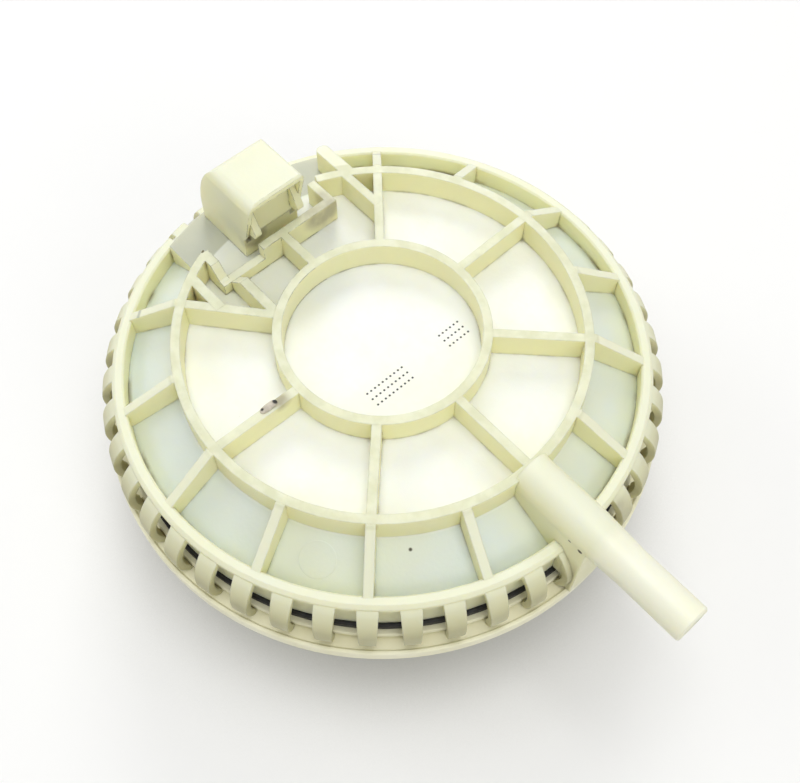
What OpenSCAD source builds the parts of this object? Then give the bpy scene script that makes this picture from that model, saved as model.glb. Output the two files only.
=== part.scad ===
// Washing machine pressure switch: a flat round diaphragm chamber with a hose nipple,
// clipped over a shallow body that carries a small switch housing underneath.
// Millimetres. +Z is up along the chamber's axis and +X runs along the nipple.
// The origin is on that axis, on the plane that the switch housing stands on.

/* [Cover] */
// Outer radius of the cover's rim
rim_r = 46; // [44:0.5:50]
// Width of the rim's flat top
rim_w = 2.1; // [1.8:0.1:2.6]
// Height of the rim's top above the diaphragm's bead
rim_h = 9.4; // [8.6:0.1:10.4]
// Thickness of the cover's floor
floor_t = 1.8; // [1.4:0.1:2]
// Height of the middle floor above the rim's top
floor_rise = 1.3; // [0.6:0.1:2]
// Depth of the sloping outer floor below the rim's top, at the rim
gutter_d = 3.9; // [3:0.1:4.4]
// Thickness of the rings, ribs and walls on the cover
wall_t = 1.6; // [1.2:0.1:2]
// Height of the rings and ribs above the middle floor
ring_h = 5; // [3.5:0.5:6]
// Outer radius of the hub ring
hub_r = 18.3; // [16:0.1:19]
// Outer radius of the middle ring
mid_r = 35; // [34:0.1:36]

/* [Clip fingers] */
// Number of clip fingers around the rim
finger_n = 44; // [40:4:48]
// Width of one clip finger at the rim
finger_w = 3.5; // [2.8:0.1:4]
// Width of one clip finger at its hook
finger_tip_w = 2.2; // [1.8:0.1:2.8]
// Thickness of one clip finger
finger_t = 1.3; // [1:0.1:1.6]
// How far a finger bulges out past the rim
finger_bulge = 3; // [2.4:0.1:3.2]
// Turn of the whole ring of fingers from the nipple's plane
finger_turn = 0.5; // [0:0.1:1]

/* [Nipple] */
// Radius of the nipple where the hose seats
nipple_r = 3.25; // [2.8:0.05:3.6]
// Radius of the air way through the nipple
nipple_bore_r = 1.9; // [1.4:0.1:2.2]
// Distance of the nipple's end from the chamber's axis
nipple_x = 67; // [62:1:74]
// Length of the nipple's straight part
nipple_l = 12; // [8:1:14]

/* [Mount box] */
// Width of the mount box
box_w = 11.8; // [10:0.2:12.4]
// Height of the mount box above the middle floor
box_h = 15.7; // [12:0.1:18]

/* [Body] */
// Height of the switch housing
housing_h = 17; // [17:0.5:20]
// Length of the switch housing along X
housing_l = 42; // [40:1:46]
// Width of the switch housing along Y
housing_w = 36; // [36:1:40]
// Thickness of the housing's walls and of the body's floor
body_t = 2; // [1.8:0.1:2.4]
// Depth of the bowl below the flange
bowl_d = 4.6; // [4:0.1:6]
// Thickness of the body's flange
flange_t = 2.2; // [1.8:0.1:2.6]

/* [Diaphragm] */
// Thickness of the diaphragm's bead
bead_t = 1.7; // [1.5:0.1:2.2]
// Thickness of the diaphragm's membrane
membrane_t = 0.8; // [0.6:0.1:1]
// Radius of the stiff plate under the diaphragm
plate_r = 31; // [29:0.5:32]
// Working travel of the plate and plunger
travel = 2; // [1.5:0.1:2]

/* [Switch] */
// Outer radius of the plunger
plunger_r = 7; // [6.6:0.1:7.2]
// Radial running clearance of the plunger and of the calibration screw
run_c = 0.05; // [0.03:0.01:0.09]
// Distance of each contact set from the middle
blade_y = 10; // [9.8:0.1:10.4]
// Width of the terminals
tab_w = 6.3; // [4.8:0.1:6.3]
// Thickness of the terminals
tab_t = 0.8; // [0.6:0.1:0.9]
// Free travel before the plunger meets the level blade
level_gap = 0.3; // [0.2:0.05:0.5]
// Free travel before the plunger meets the overflow blade
overflow_gap = 0.9; // [0.7:0.05:1.2]
// Number of turns of the main spring
spring_turns = 7; // [5:1:8]

/* [Hidden] */
$fn = 96;
eps = 0.01;

// Heights of the stack, from the housing's foot up
z_flange = housing_h + bowl_d;
z_lip = z_flange + flange_t;
z_hook = z_lip + 0.15;
z_land = z_lip + 2.1;
z_seal = z_land + bead_t;
z_rim = z_seal + rim_h;
z_floor = z_rim + floor_rise;
z_ring = z_floor + ring_h;
z_under = z_floor - floor_t;

// Radii that follow the rim
rim_in = rim_r - rim_w;
skirt_r = rim_r - 0.9;
skirt_in = rim_in - 0.3;
land_r = rim_r + 0.6;
groove_r = rim_r - 0.1;
lip_r = rim_r + 3.3;
bead_r = rim_r - 0.3;
bowl_in = rim_in - 1.5;
terrace_r = rim_in - 0.4;
land_t = 1;
hook_c = 0.1;
lip_w = 0.8;
lip_h = 0.5;

// Rounded outer face of the fingers: its radius and the height of its centre
bulge_r = 9;
z_bulge = z_rim - 7.7;

// Ribs: inner ones between the rings, outer ones from the middle ring to the rim
inner_az = [44.5, 91, 140];
outer_az = [20.5, 44.5, 67.5, 91, 115.5, 140];
rib_step = 0.03;

// Frame around the mount box: gap in the middle ring, front wall, its two arms and low corner
mount_az = 21;
u_x = -26.5;
u_y = 11;
arm_y = -12.8;
step_y = -4.7;
low_h = 2.3;
thick_t = wall_t + 0.2;

// Terrace behind the mount box, and the thick wall at its end
terrace_y0 = -14.8;
terrace_y1 = 18.9;
end_wall_t = 2.4;

// Nipple
nipple_z = z_floor + 3.1;
port_x = mid_r + 3.4;

// Switch heights
blade_t = 0.3;
z_common = housing_h - 9;
z_blade = z_common + tab_t;
touch = 0.05;
contact_h = 0.6;
contact_r = 1.5;
rivet_r = 0.8;
contact_x = -11.5;
blade_w = 5;
blade_hinge_x = 11;
blade_tail_x = 13.6;
arm_x = -1;
arm_l = blade_hinge_x - arm_x;
z_plunger = z_blade + blade_t + level_gap;
swing_level = atan((travel - level_gap + touch) / arm_l);
swing_overflow = atan((travel - overflow_gap + touch) / arm_l);
contact_arm = blade_hinge_x - contact_x + contact_r;
z_closed = z_blade + blade_t + contact_h + touch;
z_open_level = z_blade - contact_h - contact_arm * sin(swing_level) - touch - contact_h;
z_open_overflow = z_blade - contact_h - contact_arm * sin(swing_overflow) - touch - contact_h;

// Base screws and their bosses
boss_r = 2.6;
screw_x = housing_l / 2 - boss_r;
shank_r = 1.1;
shank_l = 7;

// Spring and its seat
boss_top = 5.2;
seat_z = 6;
seat_t = 1;
seat_r = 5.3;
cavity_r = 5.6;
cavity_top = z_land - 1.9;
screw_r = 2.45;
coil_r = 4.4;
wire_r = 0.45;
z_plate = z_land + 6.3;
spigot_r = 3;
spigot_l = 4;

// Ring standing on z = 0
module ring(outer, inner, h) {
    difference() {
        cylinder(r = outer, h = h);
        translate([0, 0, -1]) cylinder(r = inner, h = h + 2);
    }
}

// Wall along X from x0 to x1, centred on y
module wall_x(x0, x1, y, z0, z1) {
    translate([x0, y - wall_t / 2, z0]) cube([x1 - x0, wall_t, z1 - z0]);
}

// Copies its child at each azimuth and at its mirror image
module both_sides(angles) {
    for (a = angles, s = [-1, 1]) rotate([0, 0, s * a]) children();
}

// Flat plate with rounded corners, standing on z = 0
module rounded_plate(l, w, h, r) {
    for (x = [-1, 1], y = [-1, 1])
        translate([x * (l / 2 - r), y * (w / 2 - r), 0]) cylinder(r = r, h = h, $fn = 32);
    translate([-l / 2 + r, -w / 2, 0]) cube([l - 2 * r, w, h]);
    translate([-l / 2, -w / 2 + r, 0]) cube([l, w - 2 * r, h]);
}

// Section of the cover: middle floor, sloping gutter, rim and the skirt that clamps the bead
module cover_section() {
    polygon([
        [0, z_floor], [mid_r, z_floor],
        [rim_in, z_rim - gutter_d],
        [rim_in, z_rim - 0.3], [rim_in + 0.3, z_rim],
        [rim_r - 0.6, z_rim], [rim_r, z_rim - 0.6],
        [rim_r, z_rim - 1.4], [skirt_r, z_rim - 2.1],
        [skirt_r, z_seal], [skirt_in, z_seal],
        [skirt_in, z_rim - gutter_d - floor_t],
        [mid_r, z_under], [0, z_under]
    ]);
}

// Section of a clip finger: a bulged strip that hooks in under the body's land
module finger_section() {
    centre_x = rim_r + finger_bulge - bulge_r;
    hook_top = z_land - land_t - hook_c;
    difference() {
        intersection() {
            translate([centre_x, z_bulge]) circle(r = bulge_r);
            translate([skirt_r - 0.3, z_hook]) square([finger_bulge + 2, z_rim - z_hook]);
        }
        difference() {
            union() {
                translate([centre_x, z_bulge]) circle(r = bulge_r - finger_t);
                // room for the land and the bead
                translate([0, z_hook - 1]) square([land_r + 0.3, z_seal + 1 - z_hook]);
            }
            translate([groove_r + 0.2, z_hook - 1]) square([4, hook_top - z_hook + 1]);
        }
    }
}

// Ring of fingers, each one narrower towards its hook
module fingers() {
    pitch = 360 / finger_n;
    for (i = [0 : finger_n - 1]) rotate([0, 0, (i + 0.5) * pitch + finger_turn]) intersection() {
        rotate([0, 0, -pitch / 2]) rotate_extrude(angle = pitch) finger_section();
        rotate([90, 0, 90]) linear_extrude(rim_r + finger_bulge + 1) polygon([
            [-finger_tip_w / 2, z_hook - 1], [finger_tip_w / 2, z_hook - 1],
            [finger_w / 2, z_rim], [-finger_w / 2, z_rim]
        ]);
    }
}

// Rib from the middle ring's top, sloping down to the rim's top
module outer_rib() {
    rotate([90, 0, 0]) translate([0, 0, -wall_t / 2]) linear_extrude(wall_t)
        polygon([
            [mid_r - wall_t / 2, z_ring - 0.1], [mid_r - 0.3, z_ring - rib_step],
            [mid_r + 0.3, z_ring - rib_step],
            [rim_in + 0.5, z_rim - 0.05], [rim_in + 0.5, z_rim - gutter_d - 0.7],
            [mid_r - wall_t / 2, z_floor - 0.9]
        ]);
}

module inner_rib() {
    wall_x(hub_r - wall_t / 2, mid_r - wall_t / 2, 0, z_floor - 0.3, z_ring - rib_step);
}

module rings_and_ribs() {
    translate([0, 0, z_floor - 0.4]) {
        ring(hub_r, hub_r - wall_t, ring_h + 0.4);
        // the middle ring is open behind the mount box
        difference() {
            ring(mid_r, mid_r - wall_t, ring_h + 0.4);
            translate([0, 0, -1]) linear_extrude(ring_h + 3) polygon([
                [0, 0], [-rim_r, rim_r * tan(mount_az)], [-rim_r, -rim_r * tan(mount_az)]
            ]);
        }
    }
    both_sides(inner_az) inner_rib();
    inner_rib();
    both_sides(outer_az) outer_rib();
}

// Level terrace behind the mount box, standing on the sloping gutter
module terrace() {
    intersection() {
        rotate_extrude() polygon([
            [mid_r - 1, z_floor - 0.9], [terrace_r, z_rim - gutter_d - 0.5],
            [terrace_r, z_floor], [mid_r - 1, z_floor]
        ]);
        translate([-rim_r, terrace_y0, 0]) cube([rim_r, terrace_y1 - terrace_y0, z_ring]);
    }
}

// Wall along X, centred on y, whose top follows points of x and height above the middle floor
module profiled_wall(y, t, top) {
    translate([0, y + t / 2, z_floor]) rotate([90, 0, 0]) linear_extrude(t)
        polygon(concat([[top[len(top) - 1][0], -0.4], [top[0][0], -0.4]], top));
}

// Walls that frame the mount box, and the ribs that tie them to the rings
module mount_walls() {
    ring_end = -(mid_r - wall_t / 2) * cos(mount_az);
    face_x = u_x + wall_t / 2;
    z0 = z_floor - 0.4;
    // front wall: full height on the right, low at the left corner
    translate([u_x - wall_t / 2, step_y, z0]) cube([wall_t, u_y + wall_t / 2 - step_y, z_ring - z0]);
    translate([u_x - wall_t / 2, arm_y - thick_t / 2, z0])
        cube([wall_t, step_y - arm_y + thick_t / 2 + 0.1, z_floor + low_h - z0]);
    // right arm, and the left arm that falls to the low corner
    wall_x(ring_end, u_x, u_y, z0, z_ring);
    profiled_wall(arm_y, thick_t, [
        [ring_end - 0.2, ring_h], [ring_end + 3, ring_h], [u_x - 0.6, low_h + 0.3],
        [u_x, low_h], [face_x, low_h]
    ]);
    // ribs towards the hub, one of them rising out of the low corner
    profiled_wall(-11.2, thick_t, [
        [u_x, low_h - rib_step], [face_x, low_h - rib_step], [face_x + 2.8, ring_h - 2 * rib_step],
        [-hub_r + 4, ring_h - 2 * rib_step]
    ]);
    wall_x(u_x, -hub_r + wall_t / 2, 0, z0, z_ring);
    // short rib beside the left arm, long rib beside the right one
    profiled_wall(-17.55, thick_t, [[-29.3, ring_h], [-21, ring_h]]);
    wall_x(-30.3, -20.2, 16.9, z0, z_ring);
    // thick wall at the terrace's end, with a rounded tip
    y0 = terrace_y1 - end_wall_t;
    translate([0, 0, z0]) linear_extrude(z_ring - z0) polygon([
        [-30, y0], [-36.9, y0], [-37.4, y0 + 0.5], [-37.5, y0 + 1.2],
        [-37.3, y0 + 1.9], [-36.7, terrace_y1], [-28.5, terrace_y1]
    ]);
}

// Mount box seen along Y: a curved back, tighter near the top, and a front that leans in
// below its overhanging top
module box_side() {
    h = box_h;
    back_x = -42.3;
    back_r = 20.4;
    back_z = 2.5;
    top_x = -42.6;
    top_r = 13.6;
    top_z = 4.7;
    difference() {
        intersection() {
            union() {
                translate([back_x + back_r, back_z]) circle(r = back_r);
                translate([back_x + rib_step, -0.5]) square([back_r, back_z + 0.6]);
            }
            union() {
                translate([top_x + top_r, top_z]) circle(r = top_r);
                translate([-rim_r, -0.5]) square([rim_r / 2, top_z + 0.5]);
            }
            translate([-rim_r, -0.5]) square([rim_r / 2, h + 0.5]);
        }
        polygon([
            [0, -1], [-29.8, -1], [-29.8, h * 0.28], [-28.6, h * 0.42],
            [-26.5, h - 1.5], [-26.5, h - 0.4], [-26.9, h], [-26.9, h + 1], [0, h + 1]
        ]);
    }
}

// Mount box seen along X: a soft left shoulder and a tighter right one
module box_front() {
    w = box_w / 2;
    difference() {
        translate([-w, -0.5]) square([box_w, box_h + 0.5]);
        for (side = [[-1, 2], [1, 0.9]]) {
            s = side[0];
            r = side[1];
            difference() {
                translate([s * (w - r / 2 + 1) - r / 2 - 1, box_h - r]) square([r + 2, r + 1]);
                translate([s * (w - r), box_h - r]) circle(r = r);
                translate([s > 0 ? -w : -w + r, box_h - r]) square([box_w - r, r + 1]);
            }
        }
    }
}

module mount_box() {
    side_t = 0.8;
    slot_w = 1;
    recess_x = -28.9;
    slot_y = box_w / 2 - side_t - slot_w;
    translate([0, 0, z_floor]) {
        difference() {
            intersection() {
                rotate([90, 0, 0]) translate([0, 0, -box_w]) linear_extrude(2 * box_w) box_side();
                translate([-rim_r, 0, 0]) rotate([90, 0, 90]) linear_extrude(rim_r) box_front();
            }
            // recessed face between the side walls
            translate([recess_x, -box_w / 2 + side_t, box_h * 0.36])
                cube([4, box_w - 2 * side_t, box_h * 0.64 - 1.2]);
            // latch slots at both ends of that face
            for (s = [-1, 1]) {
                translate([-36, s > 0 ? slot_y : -slot_y - slot_w, box_h * 0.56])
                    cube([8, slot_w, box_h * 0.44 - 2.1]);
                translate([-35, s > 0 ? slot_y + 0.3 : -slot_y - slot_w - 0.3, box_h * 0.22])
                    cube([12, slot_w, box_h * 0.24]);
            }
        }
        // ramped catches below the slots
        for (s = [-1, 1])
            translate([0, s * (slot_y + slot_w / 2) + 0.7, 0]) rotate([90, 0, 0]) linear_extrude(1.4)
                polygon([
                    [recess_x - 1, box_h * 0.8], [recess_x + 0.5, box_h * 0.78],
                    [recess_x + 2.2, box_h * 0.54], [recess_x + 2.3, box_h * 0.5],
                    [recess_x + 2, box_h * 0.46], [recess_x - 1, box_h * 0.43]
                ]);
    }
}

// Nipple's tube, the duct wall that carries it across the gutter, and the block outside the rim
module nipple_tube() {
    root = nipple_r + 0.4;
    duct_w = 2 * root - 0.3;
    x0 = mid_r - wall_t / 2;
    translate([0, 0, nipple_z]) rotate([0, 90, 0]) rotate_extrude() polygon([
        [0, x0], [root, x0], [root, rim_r + 1], [nipple_r, nipple_x - nipple_l],
        [nipple_r, nipple_x - 0.3], [nipple_r - 0.3, nipple_x], [0, nipple_x]
    ]);
    translate([0, duct_w / 2, 0]) rotate([90, 0, 0]) linear_extrude(duct_w) polygon([
        [x0, nipple_z], [x0, z_floor - 0.9], [mid_r, z_floor - 0.9],
        [rim_in + 0.5, z_rim - gutter_d - 0.7], [rim_in + 0.5, nipple_z]
    ]);
    // the block keeps clear of the bead and of the body's land
    difference() {
        translate([rim_in + 0.2, -duct_w / 2, z_lip + lip_h + 0.1])
            cube([rim_w + 3.2, duct_w, nipple_z - z_lip - lip_h - 0.1]);
        translate([0, 0, z_lip]) cylinder(r = land_r + 0.2, h = z_seal - z_lip + 0.05);
    }
}

module cover() {
    color("ivory") difference() {
        union() {
            rotate_extrude() cover_section();
            rings_and_ribs();
            terrace();
            mount_walls();
            mount_box();
            nipple_tube();
            fingers();
        }
        // rim left out behind the mount box
        translate([0, 0, z_rim - 1.6]) rotate([0, 0, 163])
            rotate_extrude(angle = 34) translate([terrace_r + 0.2, 0]) square([6, 4]);
        // air way along the nipple, then down into the chamber
        translate([port_x - nipple_bore_r, 0, nipple_z]) rotate([0, 90, 0])
            cylinder(r = nipple_bore_r, h = nipple_x);
        translate([port_x, 0, z_seal]) cylinder(r = nipple_bore_r - 0.3, h = nipple_z - z_seal);
    }
}

// Section of the body: bowl, land for the bead, undercut for the hooks, flange with a raised lip
module body_section() {
    polygon([
        [plunger_r + run_c, z_flange - bowl_d], [bowl_in + 0.4, z_flange - bowl_d],
        [bowl_in + body_t, z_flange - bowl_d + 1.6], [bowl_in + body_t, z_flange],
        [lip_r - 0.3, z_flange], [lip_r, z_flange + 0.3],
        [lip_r, z_lip + lip_h - 0.2], [lip_r - 0.2, z_lip + lip_h],
        [lip_r - lip_w + 0.2, z_lip + lip_h], [lip_r - lip_w - 0.1, z_lip],
        [groove_r, z_lip], [groove_r, z_land - land_t],
        [land_r, z_land - land_t + 0.1], [land_r, z_land - 0.2], [land_r - 0.2, z_land],
        [bowl_in, z_land], [bowl_in, z_flange - bowl_d + body_t],
        [plunger_r + run_c, z_flange - bowl_d + body_t]
    ]);
}

// Slot for a terminal through the housing's end wall, on one side
module tab_slot(s, y, z) {
    translate([s > 0 ? housing_l / 2 - body_t - 1 : -housing_l / 2 - 1, y - tab_w / 2, z])
        cube([body_t + 2, tab_w, tab_t]);
}

module tab_slots() {
    for (s = [-1, 1]) {
        tab_slot(1, s * blade_y, z_common);
        tab_slot(-1, s * blade_y, z_closed + contact_h);
    }
    tab_slot(-1, blade_y, z_open_level - tab_t);
    tab_slot(-1, -blade_y, z_open_overflow - tab_t);
}

module body_shell() {
    color("wheat") difference() {
        union() {
            rotate_extrude() body_section();
            // guide tube for the plunger
            translate([0, 0, housing_h - 4.5])
                ring(plunger_r + 2, plunger_r + run_c, z_plate - travel - touch - housing_h + 4.5);
            // ribs that stiffen the bowl around the guide
            both_sides([45, 135])
                wall_x(plunger_r + 1, bowl_in + 0.5, 0, housing_h + body_t - eps, housing_h + body_t + 4);
            // housing walls
            difference() {
                translate([0, 0, body_t])
                    rounded_plate(housing_l, housing_w, housing_h - body_t + eps, 3);
                translate([0, 0, body_t - 1])
                    rounded_plate(housing_l - 2 * body_t, housing_w - 2 * body_t, housing_h - body_t + 1, 1.2);
            }
            // bosses for the base screws
            for (s = [-1, 1]) translate([s * screw_x, 0, body_t])
                cylinder(r = boss_r, h = housing_h - body_t + eps, $fn = 48);
            // short ribs that stiffen the bowl from below
            for (i = [0 : 11]) rotate([0, 0, 30 * i + 15])
                wall_x(29, bowl_in + 1, 0, housing_h - 1.6, housing_h + 1.2);
        }
        tab_slots();
        for (s = [-1, 1]) translate([s * screw_x, 0, body_t - 1])
            cylinder(r = shank_r + 0.02, h = shank_l + 2, $fn = 32);
        // breather hole from the bowl into the housing
        translate([-plunger_r - 4.2, 0, housing_h - 1]) cylinder(r = 1, h = body_t + 2, $fn = 32);
        // room for the plunger
        translate([0, 0, housing_h - 5]) cylinder(r = plunger_r + run_c, h = 20);
    }
}

module base_cover() {
    color("wheat") difference() {
        union() {
            rounded_plate(housing_l, housing_w, body_t, 3);
            // rib that locates the cover inside the housing's walls
            translate([0, 0, body_t - eps]) difference() {
                rounded_plate(housing_l - 2 * body_t - 0.2, housing_w - 2 * body_t - 0.2, 0.6, 1);
                translate([0, 0, -1])
                    rounded_plate(housing_l - 2 * body_t - 2.6, housing_w - 2 * body_t - 2.6, 3, 0.6);
                for (s = [-1, 1]) translate([s * screw_x - 4, -boss_r - 0.8, -1])
                    cube([8, 2 * boss_r + 1.6, 3]);
            }
            // boss for the calibration screw
            cylinder(r = 5, h = boss_top);
        }
        translate([0, 0, -1]) cylinder(r = screw_r + run_c, h = boss_top + 2);
        for (s = [-1, 1]) translate([s * screw_x, 0, 0]) {
            translate([0, 0, -1]) cylinder(r = 1.4, h = body_t + 2, $fn = 32);
            translate([0, 0, -eps]) cylinder(r1 = 2.3, r2 = 1.4, h = 1.1 + eps, $fn = 32);
        }
    }
}

module base_screws() {
    color("silver") for (s = [-1, 1]) translate([s * screw_x, 0, 0]) difference() {
        union() {
            translate([0, 0, 0.05]) cylinder(r1 = 2.25, r2 = 1.35, h = 1.05, $fn = 32);
            translate([0, 0, 1]) cylinder(r = shank_r, h = shank_l, $fn = 32);
        }
        for (a = [0, 90]) rotate([0, 0, a]) translate([-1.2, -0.25, -1]) cube([2.4, 0.5, 1.6]);
    }
}

// Rubber diaphragm: flat middle, rolled flank and the bead that seals the rim
module diaphragm() {
    m = membrane_t;
    zb = z_seal - 0.8;
    zm = z_plate + 2.4;
    color("black") rotate_extrude() polygon([
        [0, zm], [plate_r + 0.4, zm], [plate_r + 1.4, zm - m - 0.2],
        [plate_r + 2.1, zm - 1.9],
        [bowl_in - 5.4, zb - 0.2], [bowl_in - 4.4, zb - m], [bowl_in - 2.6, zb - m - 0.5],
        [bowl_in - 1, zb - m], [bowl_in, z_land],
        [bead_r - 0.3, z_land], [bead_r, z_land + 0.3],
        [bead_r, z_seal - 0.3], [bead_r - 0.3, z_seal],
        [skirt_in - 0.4, z_seal], [bowl_in + 0.2, zb + 0.4],
        [bowl_in - 1, zb + 0.1], [bowl_in - 2.6, zb - 0.4], [bowl_in - 4, zb + 0.1],
        [bowl_in - 4.7, zb + 0.8],
        [plate_r + 3, zm - 1.3], [plate_r + 2, zm + m - 0.7],
        [plate_r + 0.6, zm + m], [0, zm + m]
    ]);
}

module diaphragm_plate() {
    color("whitesmoke") translate([0, 0, z_plate]) {
        rotate_extrude() polygon([
            [0, 0], [plunger_r + 2.5, 0], [plunger_r + 2.5, 0.8], [plate_r - 0.6, 0.8],
            [plate_r, 1.2], [plate_r, 2], [plate_r - 0.4, 2.4], [0, 2.4]
        ]);
        // ribs under the plate
        for (i = [0 : 7]) rotate([0, 0, i * 45 + 22.5])
            wall_x(plunger_r + 2.3, plate_r - 2, 0, -1, 1);
        // spigot that holds the plunger
        translate([0, 0, -spigot_l]) cylinder(r = spigot_r, h = spigot_l + eps);
    }
}

// Actuating arm on one side of the plunger
module plunger_arm(s, drop) {
    translate([arm_x - 2, s > 0 ? plunger_r - 1.2 : -blade_y - 2, z_plunger + drop])
        cube([2, blade_y + 3.2 - plunger_r, 2]);
}

module plunger() {
    color("orangered") difference() {
        union() {
            translate([0, 0, z_plunger]) cylinder(r = plunger_r, h = z_plate - z_plunger);
            plunger_arm(1, 0);
            plunger_arm(-1, overflow_gap - level_gap);
        }
        translate([0, 0, z_plunger - 1]) cylinder(r = cavity_r, h = cavity_top - z_plunger + 1);
        translate([0, 0, z_plate - spigot_l]) cylinder(r = spigot_r + 0.02, h = spigot_l + 1);
    }
}

// Points of one section of the coil at angle a and height z
function coil_ring(a, z) = [
    for (k = [0 : 7]) let (t = k * 45, r = coil_r + wire_r * cos(t))
        [r * cos(a), r * sin(a), z + wire_r * sin(t)]
];

// Height of the wire along the coil: nearly flat over the first and the last tenth
function coil_rise(u, rise) =
    u < 0.1 ? 2 * u : u > 0.9 ? rise - 2 * (1 - u) : 0.2 + (rise - 0.4) * (u - 0.1) / 0.8;

// Compression spring with closed ends, swept along its helix
module main_spring() {
    n = 20 * spring_turns;
    z0 = seat_z + seat_t + wire_r;
    rise = cavity_top - wire_r - z0;
    rings = [for (i = [0 : n]) coil_ring(360 * spring_turns * i / n, z0 + coil_rise(i / n, rise))];
    sides = [for (i = [0 : n - 1], k = [0 : 7])
        let (a = i * 8 + k, b = i * 8 + (k + 1) % 8) [a, a + 8, b + 8, b]];
    caps = [[for (k = [0 : 7]) k], [for (k = [7 : -1 : 0]) n * 8 + k]];
    color("silver") polyhedron([for (r = rings) each r], concat(sides, caps), convexity = 10);
}

module spring_seat() {
    color("silver") translate([0, 0, seat_z]) union() {
        cylinder(r = seat_r, h = seat_t);
        cylinder(r = coil_r - wire_r - 0.3, h = seat_t + 1.6);
    }
}

module calibration_screw() {
    color("goldenrod") difference() {
        translate([0, 0, 0.6]) cylinder(r = screw_r, h = seat_z - 0.6);
        translate([-4, -0.4, 0]) cube([8, 0.8, 1.6]);
    }
}

// Flat terminal from x0 inside the housing to x1 outside, with a hole near its tip
module terminal(x0, x1, y, z) {
    out = x1 > 0 ? 1 : -1;
    color("silver") translate([0, y, z]) difference() {
        linear_extrude(tab_t) polygon([
            [x0, -tab_w / 2], [x1 - out * 1.2, -tab_w / 2], [x1, -tab_w / 2 + 1.2],
            [x1, tab_w / 2 - 1.2], [x1 - out * 1.2, tab_w / 2], [x0, tab_w / 2]
        ]);
        translate([x1 - out * 4, 0, -1]) cylinder(r = 0.9, h = tab_t + 2, $fn = 32);
    }
}

// Common terminal, whose inner edge the blade rocks on, with the post that holds the blade
module common_terminal(s) {
    color("silver") {
        terminal(blade_hinge_x, housing_l / 2 + 9, s * blade_y, z_common);
        translate([blade_hinge_x + 0.4, s * blade_y - 1.2, z_blade - eps]) cube([0.8, 2.4, 2.2]);
    }
}

// Blade of one set: rounded at the moving contact, slotted for the post at its tail
module blade(s) {
    color("gold") translate([0, s * blade_y, z_blade]) difference() {
        union() {
            translate([contact_x, -blade_w / 2, 0]) cube([blade_tail_x - contact_x, blade_w, blade_t]);
            translate([contact_x, 0, 0]) cylinder(r = blade_w / 2, h = blade_t, $fn = 48);
        }
        translate([contact_x, 0, -1]) cylinder(r = rivet_r, h = 2, $fn = 32);
        translate([blade_hinge_x, -1.5, -1]) cube([1.6, 3, 2]);
        // lightening window
        translate([1, -1, -1]) cube([7.5, 2, 2]);
    }
}

// Double-headed contact riveted through the blade's free end
module moving_contact(s) {
    color("lightgray") translate([contact_x, s * blade_y, z_blade]) {
        translate([0, 0, -contact_h]) cylinder(r = contact_r, h = contact_h, $fn = 48);
        translate([0, 0, -eps]) cylinder(r = rivet_r, h = blade_t + 2 * eps, $fn = 32);
        translate([0, 0, blade_t]) cylinder(r = contact_r, h = contact_h, $fn = 48);
    }
}

module fixed_contact(y, z) {
    translate([contact_x, y, z]) cylinder(r = contact_r, h = contact_h, $fn = 48);
}

// Terminal that carries a fixed contact at its inner end
module contact_terminal(y, z) {
    terminal(contact_x + contact_r, -housing_l / 2 - 9, y, z);
}

module level_blade() { blade(1); }
module level_moving_contact() { moving_contact(1); }
module level_common_terminal() { common_terminal(1); }
module level_closed_terminal() { contact_terminal(blade_y, z_closed + contact_h); }
module level_open_terminal() { contact_terminal(blade_y, z_open_level - tab_t); }
module overflow_blade() { blade(-1); }
module overflow_moving_contact() { moving_contact(-1); }
module overflow_common_terminal() { common_terminal(-1); }
module overflow_closed_terminal() { contact_terminal(-blade_y, z_closed + contact_h); }
module overflow_open_terminal() { contact_terminal(-blade_y, z_open_overflow - tab_t); }

module fixed_contacts() {
    color("lightgray") {
        for (s = [-1, 1]) fixed_contact(s * blade_y, z_closed);
        fixed_contact(blade_y, z_open_level);
        fixed_contact(-blade_y, z_open_overflow);
    }
}

cover();
body_shell();
diaphragm();
diaphragm_plate();
plunger();
main_spring();
spring_seat();
calibration_screw();
base_cover();
base_screws();
level_blade();
level_moving_contact();
level_common_terminal();
level_closed_terminal();
level_open_terminal();
overflow_blade();
overflow_moving_contact();
overflow_common_terminal();
overflow_closed_terminal();
overflow_open_terminal();
fixed_contacts();
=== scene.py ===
"""Looks of a washing machine pressure switch: aged ivory plastic, black seal, soft daylight."""

import math

import bmesh
import bpy
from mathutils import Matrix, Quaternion, Vector


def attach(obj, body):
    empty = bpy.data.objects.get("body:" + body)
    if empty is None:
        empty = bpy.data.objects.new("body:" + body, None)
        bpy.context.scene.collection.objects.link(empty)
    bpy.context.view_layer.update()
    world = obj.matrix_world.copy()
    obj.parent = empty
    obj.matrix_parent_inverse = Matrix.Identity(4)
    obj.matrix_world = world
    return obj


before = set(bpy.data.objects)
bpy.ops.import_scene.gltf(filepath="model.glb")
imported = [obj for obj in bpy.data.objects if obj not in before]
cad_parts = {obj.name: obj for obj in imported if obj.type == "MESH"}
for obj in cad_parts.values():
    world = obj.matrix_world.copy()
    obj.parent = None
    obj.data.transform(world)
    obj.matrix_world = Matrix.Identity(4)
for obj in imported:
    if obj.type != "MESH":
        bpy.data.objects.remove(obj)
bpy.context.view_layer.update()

MM = 0.001

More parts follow.
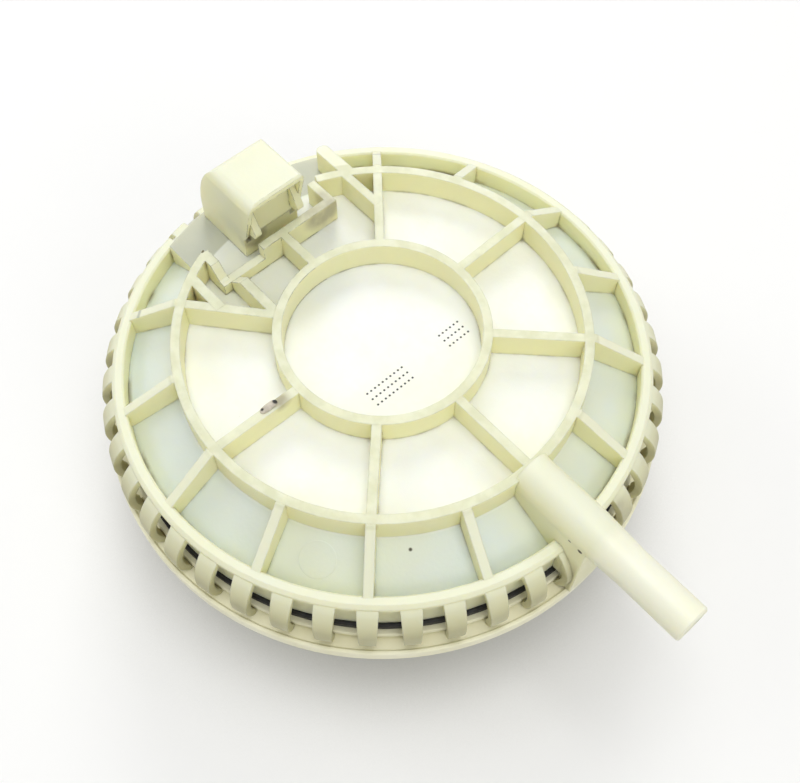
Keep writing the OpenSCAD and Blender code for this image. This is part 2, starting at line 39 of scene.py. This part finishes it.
# Heights and radii of the cover: its floors, its rings, the clip fingers, the mount and the tube
FLOOR_Z = 38.3 * MM
RING_TOP_Z = 43.3 * MM
MIDDLE_RING_R = 35.0 * MM
GUTTER_R = 43.9 * MM
GUTTER_END_Z = 33.1 * MM
FINGER_R = 46.1 * MM
FINGER_END_R = 49.0 * MM
FINGER_Z = 31.0 * MM
FINGER_TOP_Z = 36.5 * MM
MOUNT_X = -28.5 * MM
TUBE_R = 49.5 * MM
# Radii of the rounded edges
COVER_EDGE_R = 0.3 * MM
BODY_EDGE_R = 0.2 * MM
ACETAL_EDGE_R = 0.15 * MM
METAL_EDGE_R = 0.08 * MM

# Few samples keep the nodes that look for edges and corners quick
EDGE_SAMPLES = 4
PAPER_SHADE_SAMPLES = 8
# How strongly fine relief turns the surface
RELIEF_STRENGTH = 0.5

# How the materials bend light
POLYPROPYLENE_IOR = 1.49
ACETAL_IOR = 1.48
RUBBER_IOR = 1.52
# Light spreads inside the cover's waxy plastic: share, depth, and reach of red, green and blue
WAX_SHARE = 0.5
WAX_DEPTH = 3.0 * MM
WAX_REACH = (1.0, 0.85, 0.5)

# The camera stands where the photograph was taken from
CAMERA_AT = Vector((71.2, -61.09, 186.3)) * MM
CAMERA_AIM = Vector((8.4, -3.664, 37.0)) * MM
CAMERA_ROLL = math.radians(0.41)
# Lens and sensor in millimetres, and the nearest distance that the camera sees, in metres
CAMERA_LENS = 46.435
CAMERA_SENSOR = 36.0
CAMERA_NEAR = 0.01

# Soft lamps: azimuth and elevation in degrees, size in metres, power in watts, colour
LAMP_DISTANCE = 0.9
LAMPS = [
    ("ceiling", 0, 84, 0.5, 3.2, "#ffffff"),
    ("back_window", 138, 40, 0.35, 2.2, "#fffefa"),
    ("front_window", 315, 58, 0.5, 0.4, "#fffefa"),
    ("left_wall", 208, 35, 0.45, 1.25, "#fafcff"),
    ("right_window", 352, 36, 0.4, 1.1, "#fffefa"),
]
ROOM_STRENGTH = 0.4
PAPER_GLOW = 0.1
PAPER_REACH = 3.0
PAPER_SHADE_REACH = 32.0 * MM
# The paper lies a hair under the part, so that no two faces share one plane
PAPER_GAP = 0.1 * MM

# Dirt and painted shade lie within this distance of a corner, and on edges between these cosines of
# their bend
CORNER_DIRT_AND_SHADE_REACH = 1.0 * MM
EDGE_DIRT_AND_SHADE_STARTS = 0.97
EDGE_DIRT_AND_SHADE_FULL = 0.8
# The zone round the mount box, where floors get painted shade and the edge lines are stronger:
# centre, radius and fade, in millimetres
MOUNT_ZONE = ((-26.0, -3.0, 41.0), 11.0, 7.0)
# Round ejector mark in the gutter: centre, radius and fade in millimetres, and relief
EJECTOR_MARK = ((21.3, -32.2, 35.2), 3.0, 0.15, 2.0)
# Dark specks on the cover: place and radius, in millimetres
DARK_SPOTS = [
    (-1.6, -37.3, 36.8, 0.12),
    (30.2, -21.2, 37.2, 0.15),
    (-20.3, 30.9, 37.3, 0.12),
    (45.5, -2.1, 37.0, 0.15),
    (-32.5, -12.8, 43.3, 0.22),
    (46.2, -3.6, 40.9, 0.16),
    (48.3, -3.5, 40.5, 0.3),
]
DARK_SPOT_FADE_MM = 0.25
# Grey smears, of dirt and, round the mount box, painted shadow of the box: place, radius and fade
# in millimetres, and strength
SHADOW_AND_DIRT_SMEARS = [
    (-25.7, 8.8, 42.8, 2.6, 2.8, 0.75),
    (-28.0, 10.5, 46.0, 1.6, 1.8, 0.8),
    (-29.8, -3.6, 42.0, 1.6, 1.6, 0.8),
    (-0.6, -21.2, 43.3, 0.8, 1.6, 0.9),
    (46.5, 8.0, 33.0, 1.5, 3.0, 0.7),
]
# Faded rows of printed dots on the hub's floor: corner in millimetres, rows, dots in a row
DOT_GROUPS = [(4.6, 7.7, 3, 6), (5.0, -8.9, 3, 10)]
DOT_ROW_GAP = 1.35 * MM
DOT_GAP = 0.85 * MM
DOT_R = 0.19 * MM

# The small insert that lies on a rib beside the hub
INSERT_AT = Vector((-0.75, -23.4, 43.3)) * MM
INSERT_LENGTH = 3.3 * MM
INSERT_WIDTH = 1.3 * MM
INSERT_RISE = 0.35 * MM
INSERT_RINGS = 16
INSERT_SIDES = 20
INSERT_BLUNTNESS = 4


def linear(code):
    """Turns an sRGB hex colour into the linear colour that nodes take."""
    parts = [int(code[i : i + 2], 16) / 255 for i in (1, 3, 5)]
    return [c / 12.92 if c <= 0.04045 else ((c + 0.055) / 1.055) ** 2.4 for c in parts] + [1.0]


def result(node):
    """The first output of a node that is in use."""
    return next(output for output in node.outputs if output.enabled)


def add(tree, kind, inputs=(), **settings):
    """Adds a node with its settings, then links or fills its inputs in their order."""
    node = tree.nodes.new("ShaderNode" + kind)
    for name, value in settings.items():
        setattr(node, name, value)
    sockets = [socket for socket in node.inputs if socket.enabled]
    for socket, value in zip(sockets, inputs):
        if isinstance(value, bpy.types.Node):
            value = result(value)
        if isinstance(value, bpy.types.NodeSocket):
            tree.links.new(value, socket)
        elif value is not None:
            socket.default_value = linear(value) if isinstance(value, str) else value
    return node


def new_material(name):
    """An empty material: its tree, its shader, and the place on the part that it is painted by."""
    material = bpy.data.materials.new(name)
    material.use_nodes = True
    tree = material.node_tree
    tree.nodes.clear()
    shader = add(tree, "BsdfPrincipled")
    add(tree, "OutputMaterial", [shader])
    place = add(tree, "TexCoord").outputs["Object"]
    return material, tree, shader, place


def patches(tree, place, size_mm, low, high, least, most, detail=3.0, roughness=0.5):
    """Cloudy patches about size_mm across, from least to most between two noise levels."""
    cloud = add(tree, "TexNoise", [place, 1 / (size_mm * MM), detail, roughness])
    return add(tree, "MapRange", [cloud, low, high, least, most], interpolation_type="SMOOTHSTEP")


def around(tree, place, centre_mm, radius_mm, fade_mm, most=1.0):
    """A soft ball: most within radius_mm of its centre, and nothing fade_mm further out."""
    centre = [c * MM for c in centre_mm]
    away = add(tree, "VectorMath", [place, centre], operation="DISTANCE")
    limits = [radius_mm * MM, (radius_mm + fade_mm) * MM, most, 0.0]
    return add(tree, "MapRange", [away] + limits, interpolation_type="SMOOTHSTEP")


def overlap(tree, *masks):
    """The mask of where all the given masks are."""
    shared = masks[0]
    for mask in masks[1:]:
        shared = add(tree, "Math", [shared, mask], operation="MULTIPLY")
    return shared


def coated(tree, colour, *coats):
    """Lays coats of colour over one another, each where its mask is."""
    for mask, coat in coats:
        colour = add(tree, "Mix", [mask, colour, coat], data_type="RGBA")
    return colour


def finish(tree, shader, colour, gloss, relief, depth_mm, rounded=None):
    """Gives a shader its colour and roughness, and fine relief on top of rounded edges."""
    tree.links.new(result(colour), shader.inputs["Base Color"])
    tree.links.new(result(gloss), shader.inputs["Roughness"])
    bump = add(tree, "Bump")
    bump.inputs["Strength"].default_value = RELIEF_STRENGTH
    bump.inputs["Distance"].default_value = depth_mm * MM
    tree.links.new(result(relief), bump.inputs["Height"])
    if rounded:
        tree.links.new(rounded.outputs["Normal"], bump.inputs["Normal"])
    tree.links.new(bump.outputs["Normal"], shader.inputs["Normal"])


def cover_zones(tree, place):
    """Masks of the cover's zones, and the way its faces look.

    A zone is told by its height, its distance from the axis and how level its face is. Each mask
    fades out over its edge, so that no zone ends in a hard line.
    """
    axes = add(tree, "SeparateXYZ", [place]).outputs
    z = axes["Z"]
    flat = add(tree, "VectorMath", [place, (1, 1, 0)], operation="MULTIPLY")
    radius = add(tree, "VectorMath", [flat], operation="LENGTH")
    facing = add(tree, "NewGeometry").outputs["Normal"]
    upward = add(tree, "SeparateXYZ", [facing]).outputs["Z"]
    level = add(tree, "MapRange", [upward, 0.6, 0.8, 0.0, 1.0])
    # the middle floor is level, and the gutter falls from the middle ring to the rim
    slope = (FLOOR_Z - GUTTER_END_Z) / (GUTTER_R - MIDDLE_RING_R)
    past_ring = add(tree, "Math", [radius, MIDDLE_RING_R], operation="SUBTRACT")
    beyond = add(tree, "Math", [past_ring, 0.0], operation="MAXIMUM")
    drop = add(tree, "Math", [beyond, slope], operation="MULTIPLY")
    floor_height = add(tree, "Math", [FLOOR_Z, drop], operation="SUBTRACT")
    above = add(tree, "Math", [z, floor_height], operation="SUBTRACT")
    on_floor = add(tree, "MapRange", [above, 0.2 * MM, 0.4 * MM, 1.0, 0.0])
    within = add(tree, "MapRange", [radius, GUTTER_R, GUTTER_R + 0.1 * MM, 1.0, 0.0])
    inside = MIDDLE_RING_R - 0.4 * MM
    outside = MIDDLE_RING_R + 0.4 * MM
    outer = add(tree, "MapRange", [radius, inside, outside, 0.0, 1.0])
    off_level = add(tree, "Math", [z, FLOOR_Z], operation="SUBTRACT")
    from_level = add(tree, "Math", [off_level, 0.0], operation="ABSOLUTE")
    at_level = add(tree, "MapRange", [from_level, 0.1 * MM, 0.3 * MM, 1.0, 0.0])
    off_ring = add(tree, "Math", [z, RING_TOP_Z], operation="SUBTRACT")
    from_ring = add(tree, "Math", [off_ring, 0.0], operation="ABSOLUTE")
    ring_height = add(tree, "MapRange", [from_ring, 0.2 * MM, 0.5 * MM, 1.0, 0.0])
    ring_edge = MIDDLE_RING_R + 0.8 * MM
    on_rings = add(tree, "MapRange", [radius, ring_edge, ring_edge + 0.4 * MM, 1.0, 0.0])
    past_rim = add(tree, "MapRange", [radius, FINGER_R, FINGER_R + 0.9 * MM, 0.0, 1.0])
    finger_end = FINGER_END_R + 0.4 * MM
    short_of_tube = add(tree, "MapRange", [radius, FINGER_END_R, finger_end, 1.0, 0.0])
    low_enough = add(tree, "MapRange", [z, FINGER_Z, FINGER_TOP_Z, 1.0, 0.0])
    mount_edge = MOUNT_X + 0.2 * MM
    by_mount = add(tree, "MapRange", [axes["X"], MOUNT_X, mount_edge, 1.0, 0.0])
    return {
        "facing": facing,
        "floors": overlap(tree, level, on_floor, within),
        "outer": outer,
        "tops": add(tree, "MapRange", [upward, 0.3, 0.9, 0.0, 1.0]),
        "terrace": overlap(tree, level, at_level, outer, by_mount),
        "mount": around(tree, place, *MOUNT_ZONE),
        "tube": add(tree, "MapRange", [radius, TUBE_R, TUBE_R + 2.0 * MM, 0.0, 1.0]),
        "ring_tops": overlap(tree, level, ring_height, on_rings),
        "fingers": overlap(tree, past_rim, short_of_tube, low_enough),
        "skirt": overlap(tree, past_rim, short_of_tube),
    }


def dot_group(tree, place, x_mm, y_mm, rows, count):
    """The mask of a few rows of round dots whose first corner is at x_mm, y_mm."""
    corner = (x_mm * MM, y_mm * MM, 0.0)
    pitch = (DOT_ROW_GAP, DOT_GAP, 1.0)
    local = add(tree, "VectorMath", [place, corner], operation="SUBTRACT")
    cells = add(tree, "VectorMath", [local, pitch], operation="DIVIDE")
    inside = add(tree, "VectorMath", [cells], operation="FRACTION")
    centred = add(tree, "VectorMath", [inside, (0.5, 0.5, 0.0)], operation="SUBTRACT")
    offset = add(tree, "VectorMath", [centred, (DOT_ROW_GAP, DOT_GAP, 0.0)], operation="MULTIPLY")
    away = add(tree, "VectorMath", [offset], operation="LENGTH")
    dot = add(tree, "MapRange", [away, DOT_R * 0.8, DOT_R * 1.2, 1.0, 0.0])
    cell = add(tree, "SeparateXYZ", [cells])
    in_rows = add(tree, "Math", [cell.outputs["X"], rows / 2, rows / 2], operation="COMPARE")
    in_row = add(tree, "Math", [cell.outputs["Y"], count / 2, count / 2], operation="COMPARE")
    return overlap(tree, dot, in_rows, in_row)


def cover_plastic(tree, place, zones):
    """The cover's colours: walls, floors, clip fingers and tube, yellowed in clouds, with painted
    shade and painted light laid on some zones.
    """
    # painted shade by facing: upright wall faces are yellow and their tops greyer, and the terrace
    # by the mount is painted greyer as the mount box's shadow
    walls = coated(tree, "#eeecc3", (zones["tops"], "#e5e7d0"), (zones["terrace"], "#b7baab"))
    # the thin floors look whiter and colder, and the floors round the mount are painted greyer as
    # the mount box's shade
    cold = patches(tree, place, 22, 0.35, 0.65, 0.0, 1.0)
    gutter = coated(tree, "#dfe5d4", (cold, "#dae3de"))
    thin = coated(tree, "#f4f5ed", (zones["outer"], gutter), (zones["mount"], "#dfe2dc"))
    colour = coated(tree, walls, (zones["floors"], thin))
    # painted shade: the clip fingers are greyer low down, where they stand in shade; the tube is
    # paler than the rest, partly its own tone and partly painted light
    pale = add(tree, "Math", [zones["tube"], 0.6], operation="MULTIPLY")
    colour = coated(tree, colour, (zones["fingers"], "#b0ad85"), (pale, "#f9f6e2"))
    # cloudy yellowing, and ring tops that hands have darkened
    handled = overlap(tree, zones["ring_tops"], patches(tree, place, 3.0, 0.35, 0.65, 0.35, 1.0))
    yellowed = patches(tree, place, 14, 0.35, 0.7, 0.0, 0.25)
    specks = patches(tree, place, 0.9, 0.69, 0.76, 0.0, 0.4, 6.0, 0.75)
    return coated(tree, colour, (yellowed, "#e6e4bf"), (handled, "#d4d6b8"), (specks, "#8f8a66"))


def cover_dirt_and_shade(tree, place, zones, colour, rounded):
    """Lays dirt and painted shade over the cover: in corners, along edges, between the fingers, in
    smears and in spots.
    """
    # a patchy film of dirt gathers in the corners, and the darkening there is partly painted shade
    near = [None, CORNER_DIRT_AND_SHADE_REACH]
    corner = add(tree, "AmbientOcclusion", near, samples=EDGE_SAMPLES).outputs["AO"]
    closed_in = add(tree, "MapRange", [corner, 0.3, 0.75, 1.0, 0.0])
    corner_dirt_and_shade = overlap(tree, closed_in, patches(tree, place, 5.0, 0.4, 0.65, 0.05, 0.8))
    # and thin broken dark lines run along the edges, most of all round the mount: dirt, and painted
    # shade in the creases
    bend = add(tree, "VectorMath", [zones["facing"], rounded], operation="DOT_PRODUCT")
    edges = add(tree, "MapRange", [bend, EDGE_DIRT_AND_SHADE_STARTS, EDGE_DIRT_AND_SHADE_FULL, 0.0, 1.0])
    mount_dirt_and_shade_weight = add(tree, "MapRange", [zones["mount"], 0.0, 1.0, 0.25, 1.0])
    lines = overlap(tree, edges, mount_dirt_and_shade_weight, patches(tree, place, 2.2, 0.42, 0.56, 0.0, 1.0))
    # painted shade in the closed-in gaps between the clip fingers
    finger_gap_shade = overlap(tree, closed_in, zones["skirt"], patches(tree, place, 2.5, 0.35, 0.65, 0.3, 0.9))
    colour = coated(tree, colour, (corner_dirt_and_shade, "#989168"), (finger_gap_shade, "#867d53"), (lines, "#747158"))
    # grey smears: dirt and painted shadow of the box round the mount box, and dirt beside the tube
    # and on a rib
    for x, y, z, radius, fade, strength in SHADOW_AND_DIRT_SMEARS:
        dirt_and_shadow_ball = around(tree, place, (x, y, z), radius, fade, strength)
        dirt = overlap(tree, dirt_and_shadow_ball, patches(tree, place, 3.0, 0.3, 0.7, 0.5, 1.0, 2.0))
        colour = coated(tree, colour, (dirt, "#a29d86"))
    # single dark spots that years in the machine have left
    for x, y, z, radius in DARK_SPOTS:
        spot = around(tree, place, (x, y, z), radius, DARK_SPOT_FADE_MM)
        colour = coated(tree, colour, (spot, "#47432f"))
    return colour


def aged_polypropylene():
    """Injection moulded natural polypropylene, yellowed by age.

    Without filler or dye it is waxy and a little translucent, so thin floors look pale and cold.
    Its upright walls are painted yellow and their tops greyer, as painted shade by facing. Moulding
    leaves rounded edges and a satin skin, and years in a machine leave dirt in the corners and
    along the edges, where shade is painted as well.
    """
    material, tree, shader, place = new_material("aged_polypropylene")
    zones = cover_zones(tree, place)
    rounded = add(tree, "Bevel", [COVER_EDGE_R], samples=EDGE_SAMPLES)
    colour = cover_plastic(tree, place, zones)
    colour = cover_dirt_and_shade(tree, place, zones, colour, rounded)
    # faded rows of printed dots on the hub's floor
    for x, y, rows, count in DOT_GROUPS:
        dots = overlap(tree, zones["floors"], dot_group(tree, place, x, y, rows, count))
        colour = coated(tree, colour, (dots, "#22221e"))
    # round ejector mark in the gutter, and a faint moulded grain
    mark = around(tree, place, *EJECTOR_MARK)
    grain = add(tree, "TexNoise", [place, 1 / (0.7 * MM), 4.0])
    height = add(tree, "Math", [grain, mark], operation="ADD")
    gloss = patches(tree, place, 5, 0.3, 0.7, 0.36, 0.5)
    finish(tree, shader, colour, gloss, height, 0.05, rounded)
    shader.inputs["IOR"].default_value = POLYPROPYLENE_IOR
    shader.inputs["Subsurface Weight"].default_value = WAX_SHARE
    shader.inputs["Subsurface Radius"].default_value = WAX_REACH
    shader.inputs["Subsurface Scale"].default_value = WAX_DEPTH
    return material


def beige_polypropylene():
    """Injection moulded beige polypropylene of the body.

    Its filler makes it warmer and more opaque than the cover, with a satin skin and dark specks.
    """
    material, tree, shader, place = new_material("beige_polypropylene")
    cloudy = patches(tree, place, 9, 0.3, 0.7, 0.0, 1.0)
    specks = patches(tree, place, 0.8, 0.66, 0.74, 0.0, 0.5, 6.0, 0.75)
    colour = coated(tree, "#f7f4d8", (cloudy, "#ece8c6"), (specks, "#8a8058"))
    gloss = patches(tree, place, 4, 0.3, 0.7, 0.4, 0.55)
    grain = add(tree, "TexNoise", [place, 1 / (0.6 * MM), 4.0])
    rounded = add(tree, "Bevel", [BODY_EDGE_R], samples=EDGE_SAMPLES)
    finish(tree, shader, colour, gloss, grain, 0.04, rounded)
    shader.inputs["IOR"].default_value = POLYPROPYLENE_IOR
    return material


def moulded_acetal(name, light, dark):
    """Injection moulded acetal of the inner pieces: slippery, with a satin sheen."""
    material, tree, shader, place = new_material(name)
    colour = coated(tree, light, (patches(tree, place, 6, 0.3, 0.7, 0.0, 1.0), dark))
    gloss = patches(tree, place, 2, 0.3, 0.7, 0.35, 0.5)
    grain = add(tree, "TexNoise", [place, 1 / (0.5 * MM), 4.0])
    rounded = add(tree, "Bevel", [ACETAL_EDGE_R], samples=EDGE_SAMPLES)
    finish(tree, shader, colour, gloss, grain, 0.03, rounded)
    shader.inputs["IOR"].default_value = ACETAL_IOR
    return material


def black_rubber():
    """Moulded black rubber: dull, with a little dust on it."""
    material, tree, shader, place = new_material("black_rubber")
    dust = patches(tree, place, 1.6, 0.55, 0.8, 0.0, 0.25, 5.0, 0.65)
    colour = coated(tree, "#070707", (dust, "#3d3b34"))
    gloss = patches(tree, place, 1, 0.3, 0.7, 0.55, 0.75)
    grain = add(tree, "TexNoise", [place, 1 / (0.4 * MM), 4.0])
    finish(tree, shader, colour, gloss, grain, 0.03)
    shader.inputs["IOR"].default_value = RUBBER_IOR
    return material


def bare_metal(name, light, dark, rough, streak_mm):
    """Metal with the fine lines of its rolling, drawing or turning, and uneven tarnish."""
    material, tree, shader, place = new_material(name)
    size = [1 / (s * MM) for s in streak_mm]
    stretched = add(tree, "VectorMath", [place, size], operation="MULTIPLY")
    lines = add(tree, "TexNoise", [stretched, 1.0, 2.0])
    colour = coated(tree, light, (patches(tree, place, 2.5, 0.3, 0.7, 0.0, 1.0), dark))
    gloss = add(tree, "MapRange", [lines, 0.2, 0.8, rough - 0.06, rough + 0.08])
    rounded = add(tree, "Bevel", [METAL_EDGE_R], samples=EDGE_SAMPLES)
    finish(tree, shader, colour, gloss, lines, 0.01, rounded)
    shader.inputs["Metallic"].default_value = 1.0
    return material


def dull_putty():
    """A bead of old grey putty: matt, and black at both ends."""
    material, tree, shader, place = new_material("dull_putty")
    x, y, z = INSERT_AT / MM
    reach = INSERT_LENGTH / MM / 2
    by_hub = around(tree, place, (x, y + reach - 0.3, z + 0.3), 0.3, 0.35)
    by_rim = around(tree, place, (x - 0.2, y - reach + 0.5, z + 0.35), 0.15, 0.25)
    cloudy = patches(tree, place, 0.8, 0.35, 0.65, 0.0, 0.6)
    colour = coated(tree, "#cdc4b4", (cloudy, "#a79f8f"), (by_hub, "#1d1b18"), (by_rim, "#1d1b18"))
    gloss = patches(tree, place, 0.6, 0.3, 0.7, 0.5, 0.7)
    grain = add(tree, "TexNoise", [place, 1 / (0.3 * MM), 4.0])
    finish(tree, shader, colour, gloss, grain, 0.04)
    return material


def dress_nodes():
    """Gives every CAD node the material of its real finish."""
    ivory = aged_polypropylene()
    beige = beige_polypropylene()
    tinned = bare_metal("tinned_brass", "#d3cfc2", "#b5ae9c", 0.32, (0.15, 6.0, 6.0))
    bronze = bare_metal("rolled_bronze", "#d6a46c", "#b98653", 0.28, (8.0, 0.12, 8.0))
    silver = bare_metal("silver_contact", "#e6e5e0", "#cfccc2", 0.22, (0.3, 0.3, 0.3))
    zinc = bare_metal("zinc_plated_steel", "#c9c8c0", "#a8a79c", 0.35, (0.4, 0.4, 2.0))
    spring_steel = bare_metal("spring_steel", "#b9b8b4", "#96948f", 0.3, (0.2, 0.2, 0.2))
    turned_brass = bare_metal("turned_brass", "#d9b672", "#b8924f", 0.3, (4.0, 4.0, 0.15))
    finishes = {
        "cover": ivory,
        "body_shell": beige,
        "base_cover": beige,
        "diaphragm": black_rubber(),
        "diaphragm_plate": moulded_acetal("white_acetal", "#f2f1ea", "#e4e3d8"),
        "plunger": moulded_acetal("red_acetal", "#c2452c", "#a83a26"),
        "main_spring": spring_steel,
        "spring_seat": zinc,
        "base_screws": zinc,
        "calibration_screw": turned_brass,
        "fixed_contacts": silver,
    }
    for set_name in ("level", "overflow"):
        finishes[set_name + "_blade"] = bronze
        finishes[set_name + "_moving_contact"] = silver
        for end in ("common", "closed", "open"):
            finishes[f"{set_name}_{end}_terminal"] = tinned
    for name, material in finishes.items():
        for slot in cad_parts[name].material_slots:
            slot.material = material


def new_piece(name, shape, material):
    """Turns a finished bmesh into an object of the scene."""
    mesh = bpy.data.meshes.new(name)
    shape.to_mesh(mesh)
    shape.free()
    mesh.materials.append(material)
    piece = bpy.data.objects.new(name, mesh)
    bpy.context.scene.collection.objects.link(piece)
    return piece


def rib_insert():
    """A rounded bar that lies along the top of a rib, sunk a little into it."""
    shape = bmesh.new()
    rings = []
    for i in range(1, INSERT_RINGS):
        along = -math.cos(math.pi * i / INSERT_RINGS)
        # blunt ends: the section stays full for most of the length
        size = (1 - abs(along) ** INSERT_BLUNTNESS) ** 0.5
        ring = []
        for j in range(INSERT_SIDES):
            turn = 2 * math.pi * j / INSERT_SIDES
            across = math.cos(turn) * INSERT_WIDTH / 2 * size
            up = math.sin(turn) * INSERT_RISE * size
            offset = Vector((across, along * INSERT_LENGTH / 2, up))
            ring.append(shape.verts.new(INSERT_AT + offset))
        rings.append(ring)
    for near, far in zip(rings, rings[1:]):
        for j in range(INSERT_SIDES):
            k = (j + 1) % INSERT_SIDES
            shape.faces.new((near[j], near[k], far[k], far[j]))
    shape.faces.new(rings[0])
    shape.faces.new(rings[-1][::-1])
    bmesh.ops.recalc_face_normals(shape, faces=shape.faces)
    for face in shape.faces:
        face.smooth = True
    piece = new_piece("rib_insert", shape, dull_putty())
    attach(piece, "housing")


def place_camera():
    """The photograph's viewpoint, found from the rings, the rim and the ribs that it shows."""
    camera = bpy.data.objects.new("camera", bpy.data.cameras.new("camera"))
    bpy.context.scene.collection.objects.link(camera)
    camera.data.sensor_width = CAMERA_SENSOR
    camera.data.sensor_fit = "HORIZONTAL"
    camera.data.lens = CAMERA_LENS
    camera.data.clip_start = CAMERA_NEAR
    camera.location = CAMERA_AT
    camera.rotation_mode = "QUATERNION"
    towards = (CAMERA_AIM - CAMERA_AT).to_track_quat("-Z", "Y")
    camera.rotation_quaternion = towards @ Quaternion((0, 0, 1), CAMERA_ROLL)
    bpy.context.scene.camera = camera


def place_lamps():
    """Large soft lamps that look at the part from their own directions."""
    for name, azimuth, elevation, size, power, colour in LAMPS:
        data = bpy.data.lights.new(name, "AREA")
        data.size = size
        data.energy = power
        data.color = linear(colour)[:3]
        lamp = bpy.data.objects.new(name, data)
        bpy.context.scene.collection.objects.link(lamp)
        a = math.radians(azimuth)
        e = math.radians(elevation)
        towards = Vector((math.cos(a) * math.cos(e), math.sin(a) * math.cos(e), math.sin(e)))
        lamp.location = towards * LAMP_DISTANCE
        lamp.rotation_mode = "QUATERNION"
        lamp.rotation_quaternion = (-towards).to_track_quat("-Z", "Y")


def place_room():
    """A pale room that the camera and glossy surfaces see as plain white."""
    world = bpy.data.worlds.new("white_room")
    bpy.context.scene.world = world
    world.use_nodes = True
    tree = world.node_tree
    tree.nodes.clear()
    ray = add(tree, "LightPath").outputs
    through = ray["Is Transmission Ray"]
    bounced = add(tree, "Math", [ray["Is Glossy Ray"], through], operation="MAXIMUM")
    seen = add(tree, "Math", [ray["Is Camera Ray"], bounced], operation="MAXIMUM")
    room = add(tree, "Background", ["#fdfdff", ROOM_STRENGTH])
    backdrop = add(tree, "Background", ["#ffffff", 1.0])
    mixed = add(tree, "MixShader", [seen, room, backdrop])
    add(tree, "OutputWorld", [mixed])


def place_floor():
    """White paper under the part: it keeps the shadow, and glows a little for the camera alone."""
    material, tree, shader, place = new_material("white_paper")
    fibres = patches(tree, place, 4.0, 0.3, 0.7, 0.85, 0.95)
    tree.links.new(result(fibres), shader.inputs["Roughness"])
    # paper close under the part gets less of the room's light
    near = [None, PAPER_SHADE_REACH]
    open_sky = add(tree, "AmbientOcclusion", near, samples=PAPER_SHADE_SAMPLES).outputs["AO"]
    covered = add(tree, "MapRange", [open_sky, 0.3, 0.9, 1.0, 0.0])
    painted = coated(tree, "#e7e7e6", (covered, "#a6a6a3"))
    tree.links.new(result(painted), shader.inputs["Base Color"])
    ray = add(tree, "LightPath").outputs
    glow = add(tree, "Math", [ray["Is Camera Ray"], PAPER_GLOW], operation="MULTIPLY")
    shine = add(tree, "Emission", ["#ffffff", glow])
    lit = add(tree, "AddShader", [shader, shine])
    tree.links.new(result(lit), tree.get_output_node("ALL").inputs["Surface"])
    shape = bmesh.new()
    bmesh.ops.create_grid(shape, x_segments=1, y_segments=1, size=PAPER_REACH)
    floor = new_piece("floor", shape, material)
    floor.location.z = -PAPER_GAP


place_camera()
place_lamps()
place_room()
place_floor()
dress_nodes()
rib_insert()
bpy.context.scene.view_settings.view_transform = "Standard"
